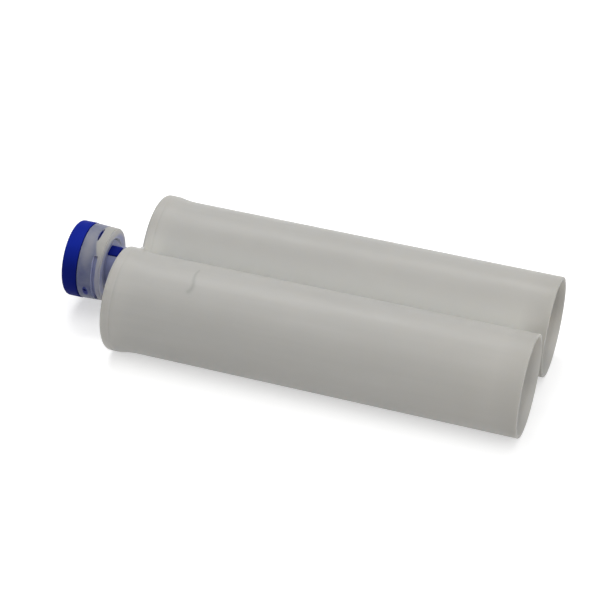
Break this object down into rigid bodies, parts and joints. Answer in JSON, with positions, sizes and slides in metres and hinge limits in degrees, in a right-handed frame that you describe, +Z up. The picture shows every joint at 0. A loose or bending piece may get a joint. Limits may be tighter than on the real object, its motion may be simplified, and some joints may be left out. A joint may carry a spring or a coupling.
{
  "type": "two-component cartridge",
  "caption": "Side-by-side two-component dispensing cartridge with open-ended barrels, pistons, a keyed closure plug and a screw-on retaining nut.",
  "frame": {"origin": "under the middle of the whole cartridge, on the surface it lies on", "axes": "+X along the barrels to their open ends, +Z up, the barrels side by side in Y"},
  "size_m": [0.2356, 0.1042, 0.0508],
  "materials": {
    "natural_plastic": "natural translucent, satin",
    "nut_plastic": "natural translucent, tinted by the blue plug inside, satin",
    "blue_plastic": "opaque blue, satin",
    "piston_plastic": "opaque white, satin",
    "seal_rubber": "smooth black"
  },
  "bodies": {
    "cartridge": {"cartridge_body": "natural_plastic"},
    "plug": {"closure_plug": "blue_plastic"},
    "nut": {"retaining_nut": "nut_plastic"},
    "left_piston": {"piston_left": "piston_plastic", "piston_seal_left": "seal_rubber"},
    "right_piston": {"piston_right": "piston_plastic", "piston_seal_right": "seal_rubber"}
  },
  "joints": [
    {"name": "plug_draw", "type": "slide", "parent": "cartridge", "child": "plug", "axis": [-1, 0, 0], "range_m": [0, 0.0045]},
    {"name": "nut_turn", "type": "hinge", "parent": "plug", "child": "nut", "pos_m": [-0.10395, 0, 0.0254], "axis": [-1, 0, 0], "range_deg": [0, 270]},
    {"name": "piston_left_slide", "type": "slide", "parent": "cartridge", "child": "left_piston", "axis": [1, 0, 0], "range_m": [0, 0.18]},
    {"name": "piston_right_slide", "type": "slide", "parent": "cartridge", "child": "right_piston", "axis": [1, 0, 0], "range_m": [0, 0.18]}
  ],
  "couplings": [
    {"joint": "plug_draw", "follows": "nut_turn", "m_per_rad": 0.00095493}
  ]
}
